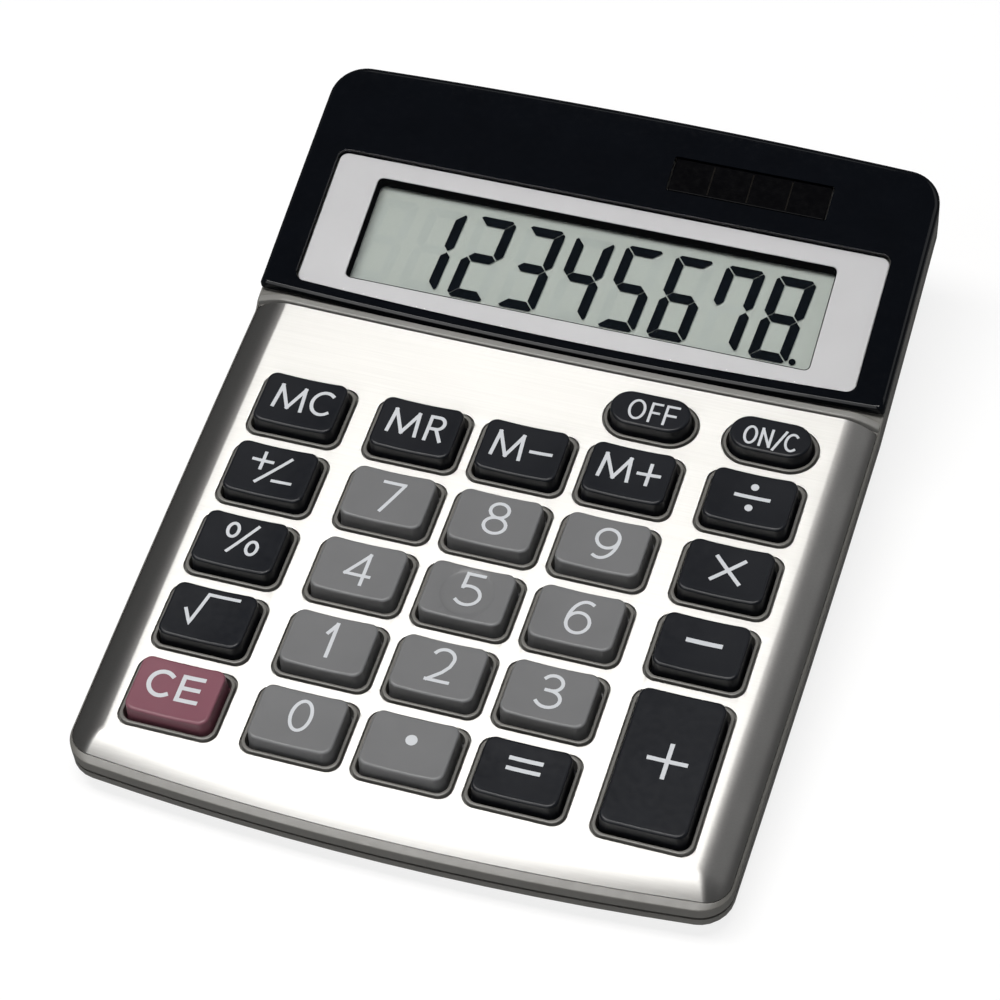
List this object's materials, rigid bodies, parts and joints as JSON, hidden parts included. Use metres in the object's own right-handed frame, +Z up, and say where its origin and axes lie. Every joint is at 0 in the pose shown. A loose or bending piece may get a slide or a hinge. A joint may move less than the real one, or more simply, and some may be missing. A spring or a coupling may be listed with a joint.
{
  "type": "desk calculator",
  "caption": "Wedge-shaped desk calculator with a tilted display panel, a brushed key plate, sprung keys in raised collars and a sliding battery door.",
  "frame": {"origin": "on the surface the feet stand on, under the middle of the outline", "axes": "+X to the user's right, +Y away from the user towards the display, +Z up"},
  "size_m": [0.1086, 0.1434, 0.0324],
  "materials": {
    "case": "satin grey ABS, fine spark texture",
    "plate": "brushed from side to side",
    "panel": "polished black",
    "lens": "clear, polished",
    "frame": "silver print, satin",
    "holder": "matt black",
    "lcd": "grey-green reflective liquid crystal",
    "flex": "amber film",
    "solar": "dark amorphous cell",
    "pcb": "green solder mask",
    "chip": "black resin blob",
    "rubber_keypad": "grey silicone",
    "foot_rubber": "matt black",
    "steel": "zinc plated",
    "cell": "nickel plated",
    "spring": "nickel plated strip",
    "wire_red": "vinyl",
    "wire_black": "vinyl",
    "key_grey": "semi-gloss mid grey, light legends",
    "key_charcoal": "semi-gloss charcoal, light legends",
    "key_maroon": "semi-gloss dusky maroon, light legends"
  },
  "bodies": {
    "housing": {"upper_case": "case", "lower_case": "case", "faceplate": "plate", "display_panel": "panel", "display_lens": "lens", "display_frame": "frame", "lcd_holder": "holder", "lcd_module": "lcd", "lcd_flex": "flex", "solar_cell": "solar", "keypad_pcb": "pcb", "controller_chip": "chip", "rubber_keypad": "rubber_keypad", "button_cell": "cell", "battery_contact_negative": "spring", "battery_contact_positive": "spring", "foot_1": "foot_rubber", "foot_2": "foot_rubber", "foot_3": "foot_rubber", "foot_4": "foot_rubber", "case_screw_1": "steel", "case_screw_2": "steel", "case_screw_3": "steel", "case_screw_4": "steel", "case_screw_5": "steel", "case_screw_6": "steel", "pcb_screw_1": "steel", "pcb_screw_2": "steel", "solar_wire_positive": "wire_red", "solar_wire_negative": "wire_black", "battery_wire_positive": "wire_red", "battery_wire_negative": "wire_black"},
    "battery_door": {"battery_door": "case"},
    "key_memory_clear": {"key_memory_clear": "key_charcoal"},
    "key_memory_recall": {"key_memory_recall": "key_charcoal"},
    "key_memory_subtract": {"key_memory_subtract": "key_charcoal"},
    "key_memory_add": {"key_memory_add": "key_charcoal"},
    "key_divide": {"key_divide": "key_charcoal"},
    "key_change_sign": {"key_change_sign": "key_charcoal"},
    "key_7": {"key_7": "key_grey"},
    "key_8": {"key_8": "key_grey"},
    "key_9": {"key_9": "key_grey"},
    "key_multiply": {"key_multiply": "key_charcoal"},
    "key_percent": {"key_percent": "key_charcoal"},
    "key_4": {"key_4": "key_grey"},
    "key_5": {"key_5": "key_grey"},
    "key_6": {"key_6": "key_grey"},
    "key_subtract": {"key_subtract": "key_charcoal"},
    "key_square_root": {"key_square_root": "key_charcoal"},
    "key_1": {"key_1": "key_grey"},
    "key_2": {"key_2": "key_grey"},
    "key_3": {"key_3": "key_grey"},
    "key_clear_entry": {"key_clear_entry": "key_maroon"},
    "key_0": {"key_0": "key_grey"},
    "key_decimal_point": {"key_decimal_point": "key_grey"},
    "key_equals": {"key_equals": "key_charcoal"},
    "key_add": {"key_add": "key_charcoal"},
    "key_off": {"key_off": "key_charcoal"},
    "key_on_clear": {"key_on_clear": "key_charcoal"}
  },
  "joints": [
    {"name": "press_memory_clear", "type": "slide", "parent": "housing", "child": "key_memory_clear", "axis": [0, 0.0872, -0.9962], "range_m": [0, 0.0016], "stiffness_N_per_m": 375, "springref_m": -0.0005, "deforming": ["rubber_keypad"]},
    {"name": "press_memory_recall", "type": "slide", "parent": "housing", "child": "key_memory_recall", "axis": [0, 0.0872, -0.9962], "range_m": [0, 0.0016], "stiffness_N_per_m": 375, "springref_m": -0.0005, "deforming": ["rubber_keypad"]},
    {"name": "press_memory_subtract", "type": "slide", "parent": "housing", "child": "key_memory_subtract", "axis": [0, 0.0872, -0.9962], "range_m": [0, 0.0016], "stiffness_N_per_m": 375, "springref_m": -0.0005, "deforming": ["rubber_keypad"]},
    {"name": "press_memory_add", "type": "slide", "parent": "housing", "child": "key_memory_add", "axis": [0, 0.0872, -0.9962], "range_m": [0, 0.0016], "stiffness_N_per_m": 375, "springref_m": -0.0005, "deforming": ["rubber_keypad"]},
    {"name": "press_divide", "type": "slide", "parent": "housing", "child": "key_divide", "axis": [0, 0.0872, -0.9962], "range_m": [0, 0.0016], "stiffness_N_per_m": 375, "springref_m": -0.0005, "deforming": ["rubber_keypad"]},
    {"name": "press_change_sign", "type": "slide", "parent": "housing", "child": "key_change_sign", "axis": [0, 0.0872, -0.9962], "range_m": [0, 0.0016], "stiffness_N_per_m": 375, "springref_m": -0.0005, "deforming": ["rubber_keypad"]},
    {"name": "press_7", "type": "slide", "parent": "housing", "child": "key_7", "axis": [0, 0.0872, -0.9962], "range_m": [0, 0.0016], "stiffness_N_per_m": 375, "springref_m": -0.0005, "deforming": ["rubber_keypad"]},
    {"name": "press_8", "type": "slide", "parent": "housing", "child": "key_8", "axis": [0, 0.0872, -0.9962], "range_m": [0, 0.0016], "stiffness_N_per_m": 375, "springref_m": -0.0005, "deforming": ["rubber_keypad"]},
    {"name": "press_9", "type": "slide", "parent": "housing", "child": "key_9", "axis": [0, 0.0872, -0.9962], "range_m": [0, 0.0016], "stiffness_N_per_m": 375, "springref_m": -0.0005, "deforming": ["rubber_keypad"]},
    {"name": "press_multiply", "type": "slide", "parent": "housing", "child": "key_multiply", "axis": [0, 0.0872, -0.9962], "range_m": [0, 0.0016], "stiffness_N_per_m": 375, "springref_m": -0.0005, "deforming": ["rubber_keypad"]},
    {"name": "press_percent", "type": "slide", "parent": "housing", "child": "key_percent", "axis": [0, 0.0872, -0.9962], "range_m": [0, 0.0016], "stiffness_N_per_m": 375, "springref_m": -0.0005, "deforming": ["rubber_keypad"]},
    {"name": "press_4", "type": "slide", "parent": "housing", "child": "key_4", "axis": [0, 0.0872, -0.9962], "range_m": [0, 0.0016], "stiffness_N_per_m": 375, "springref_m": -0.0005, "deforming": ["rubber_keypad"]},
    {"name": "press_5", "type": "slide", "parent": "housing", "child": "key_5", "axis": [0, 0.0872, -0.9962], "range_m": [0, 0.0016], "stiffness_N_per_m": 375, "springref_m": -0.0005, "deforming": ["rubber_keypad"]},
    {"name": "press_6", "type": "slide", "parent": "housing", "child": "key_6", "axis": [0, 0.0872, -0.9962], "range_m": [0, 0.0016], "stiffness_N_per_m": 375, "springref_m": -0.0005, "deforming": ["rubber_keypad"]},
    {"name": "press_subtract", "type": "slide", "parent": "housing", "child": "key_subtract", "axis": [0, 0.0872, -0.9962], "range_m": [0, 0.0016], "stiffness_N_per_m": 375, "springref_m": -0.0005, "deforming": ["rubber_keypad"]},
    {"name": "press_square_root", "type": "slide", "parent": "housing", "child": "key_square_root", "axis": [0, 0.0872, -0.9962], "range_m": [0, 0.0016], "stiffness_N_per_m": 375, "springref_m": -0.0005, "deforming": ["rubber_keypad"]},
    {"name": "press_1", "type": "slide", "parent": "housing", "child": "key_1", "axis": [0, 0.0872, -0.9962], "range_m": [0, 0.0016], "stiffness_N_per_m": 375, "springref_m": -0.0005, "deforming": ["rubber_keypad"]},
    {"name": "press_2", "type": "slide", "parent": "housing", "child": "key_2", "axis": [0, 0.0872, -0.9962], "range_m": [0, 0.0016], "stiffness_N_per_m": 375, "springref_m": -0.0005, "deforming": ["rubber_keypad"]},
    {"name": "press_3", "type": "slide", "parent": "housing", "child": "key_3", "axis": [0, 0.0872, -0.9962], "range_m": [0, 0.0016], "stiffness_N_per_m": 375, "springref_m": -0.0005, "deforming": ["rubber_keypad"]},
    {"name": "press_clear_entry", "type": "slide", "parent": "housing", "child": "key_clear_entry", "axis": [0, 0.0872, -0.9962], "range_m": [0, 0.0016], "stiffness_N_per_m": 375, "springref_m": -0.0005, "deforming": ["rubber_keypad"]},
    {"name": "press_0", "type": "slide", "parent": "housing", "child": "key_0", "axis": [0, 0.0872, -0.9962], "range_m": [0, 0.0016], "stiffness_N_per_m": 375, "springref_m": -0.0005, "deforming": ["rubber_keypad"]},
    {"name": "press_decimal_point", "type": "slide", "parent": "housing", "child": "key_decimal_point", "axis": [0, 0.0872, -0.9962], "range_m": [0, 0.0016], "stiffness_N_per_m": 375, "springref_m": -0.0005, "deforming": ["rubber_keypad"]},
    {"name": "press_equals", "type": "slide", "parent": "housing", "child": "key_equals", "axis": [0, 0.0872, -0.9962], "range_m": [0, 0.0016], "stiffness_N_per_m": 375, "springref_m": -0.0005, "deforming": ["rubber_keypad"]},
    {"name": "press_add", "type": "slide", "parent": "housing", "child": "key_add", "axis": [0, 0.0872, -0.9962], "range_m": [0, 0.0016], "stiffness_N_per_m": 600, "springref_m": -0.0005, "deforming": ["rubber_keypad"]},
    {"name": "press_off", "type": "slide", "parent": "housing", "child": "key_off", "axis": [0, 0.0872, -0.9962], "range_m": [0, 0.0016], "stiffness_N_per_m": 375, "springref_m": -0.0005, "deforming": ["rubber_keypad"]},
    {"name": "press_on_clear", "type": "slide", "parent": "housing", "child": "key_on_clear", "axis": [0, 0.0872, -0.9962], "range_m": [0, 0.0016], "stiffness_N_per_m": 375, "springref_m": -0.0005, "deforming": ["rubber_keypad"]},
    {"name": "battery_door_slide", "type": "slide", "parent": "housing", "child": "battery_door", "axis": [0, 1, 0], "range_m": [0, 0.03]}
  ]
}
